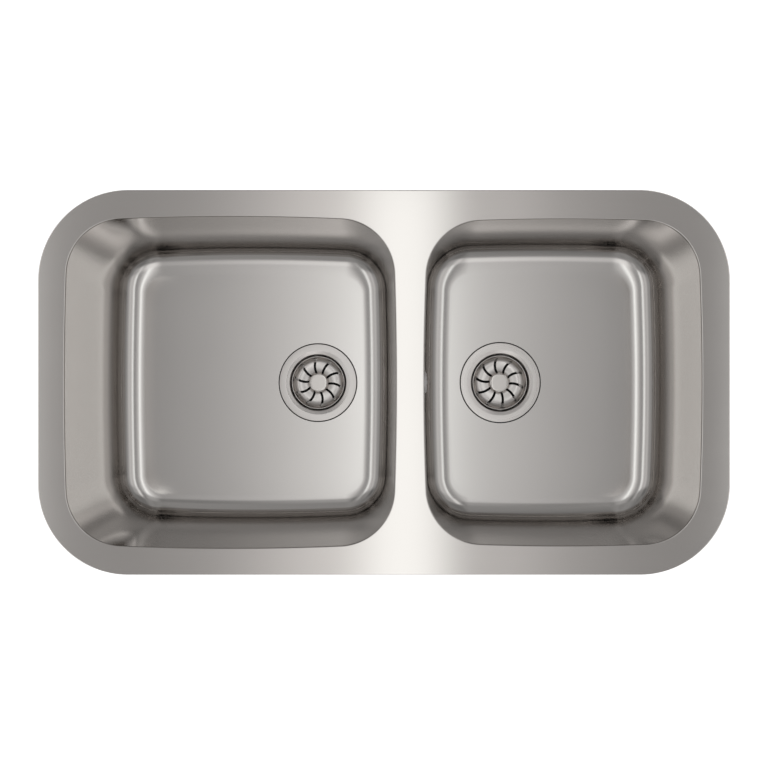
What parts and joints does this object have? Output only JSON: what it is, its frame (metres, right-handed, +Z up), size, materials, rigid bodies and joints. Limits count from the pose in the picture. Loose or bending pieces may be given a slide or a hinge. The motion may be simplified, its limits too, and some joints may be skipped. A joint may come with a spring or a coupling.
{
  "type": "double bowl kitchen sink",
  "caption": "Undermount steel kitchen sink: a flat round-cornered rim, two rounded bowls of unequal depth, basket strainers that lift out, and an overflow.",
  "frame": {"origin": "middle of the divider between the bowls, in the plane of the rim's top face", "axes": "+Z up, square to the rim; +X from the wide bowl towards the narrow one; +Y towards the back of the sink"},
  "size_m": [0.845, 0.47, 0.295],
  "materials": {
    "deck_plate": "satin",
    "left_bowl": "satin",
    "right_bowl": "satin",
    "left_sound_pad": "matte",
    "right_sound_pad": "matte",
    "left_waste_flange": "brushed in rings",
    "left_flange_seal": "matte",
    "left_body_gasket": "matte",
    "left_waste_body": "moulded",
    "left_fixing_screw": "turned",
    "left_screw_insert": "turned",
    "left_stopper": "matte",
    "left_basket_stem": "turned",
    "left_basket": "pressed, half bright",
    "left_basket_cap": "brushed",
    "right_waste_flange": "brushed in rings",
    "right_flange_seal": "matte",
    "right_body_gasket": "matte",
    "right_waste_body": "moulded",
    "right_fixing_screw": "turned",
    "right_screw_insert": "turned",
    "right_stopper": "matte",
    "right_basket_stem": "turned",
    "right_basket": "pressed, half bright",
    "right_basket_cap": "brushed",
    "overflow_rosette": "polished",
    "overflow_screw": "polished",
    "overflow_gasket": "matte",
    "overflow_elbow": "moulded",
    "overflow_pipe": "moulded",
    "overflow_upper_nut": "moulded",
    "overflow_upper_washer": "matte",
    "overflow_lower_nut": "moulded",
    "overflow_lower_washer": "matte"
  },
  "bodies": {
    "sink": {"deck_plate": "deck_plate", "left_bowl": "left_bowl", "right_bowl": "right_bowl", "left_sound_pad": "left_sound_pad", "right_sound_pad": "right_sound_pad", "left_waste_flange": "left_waste_flange", "left_flange_seal": "left_flange_seal", "left_body_gasket": "left_body_gasket", "left_waste_body": "left_waste_body", "left_fixing_screw": "left_fixing_screw", "left_screw_insert": "left_screw_insert", "right_waste_flange": "right_waste_flange", "right_flange_seal": "right_flange_seal", "right_body_gasket": "right_body_gasket", "right_waste_body": "right_waste_body", "right_fixing_screw": "right_fixing_screw", "right_screw_insert": "right_screw_insert", "overflow_rosette": "overflow_rosette", "overflow_screw": "overflow_screw", "overflow_gasket": "overflow_gasket", "overflow_elbow": "overflow_elbow", "overflow_pipe": "overflow_pipe", "overflow_upper_nut": "overflow_upper_nut", "overflow_upper_washer": "overflow_upper_washer", "overflow_lower_nut": "overflow_lower_nut", "overflow_lower_washer": "overflow_lower_washer"},
    "left_plug": {"left_stopper": "left_stopper"},
    "left_strainer": {"left_basket": "left_basket", "left_basket_cap": "left_basket_cap", "left_basket_stem": "left_basket_stem"},
    "right_plug": {"right_stopper": "right_stopper"},
    "right_strainer": {"right_basket": "right_basket", "right_basket_cap": "right_basket_cap", "right_basket_stem": "right_basket_stem"}
  },
  "joints": [
    {"name": "left_basket_lift", "type": "slide", "parent": "sink", "child": "left_plug", "axis": [0, 0, 1], "range_m": [-0.004, 0.25]},
    {"name": "left_basket_turn", "type": "hinge", "parent": "left_plug", "child": "left_strainer", "pos_m": [-0.128, 0, -0.21], "axis": [0, 0, 1], "continuous": true},
    {"name": "right_basket_lift", "type": "slide", "parent": "sink", "child": "right_plug", "axis": [0, 0, 1], "range_m": [-0.004, 0.21]},
    {"name": "right_basket_turn", "type": "hinge", "parent": "right_plug", "child": "right_strainer", "pos_m": [0.132, 0, -0.173], "axis": [0, 0, 1], "continuous": true}
  ]
}
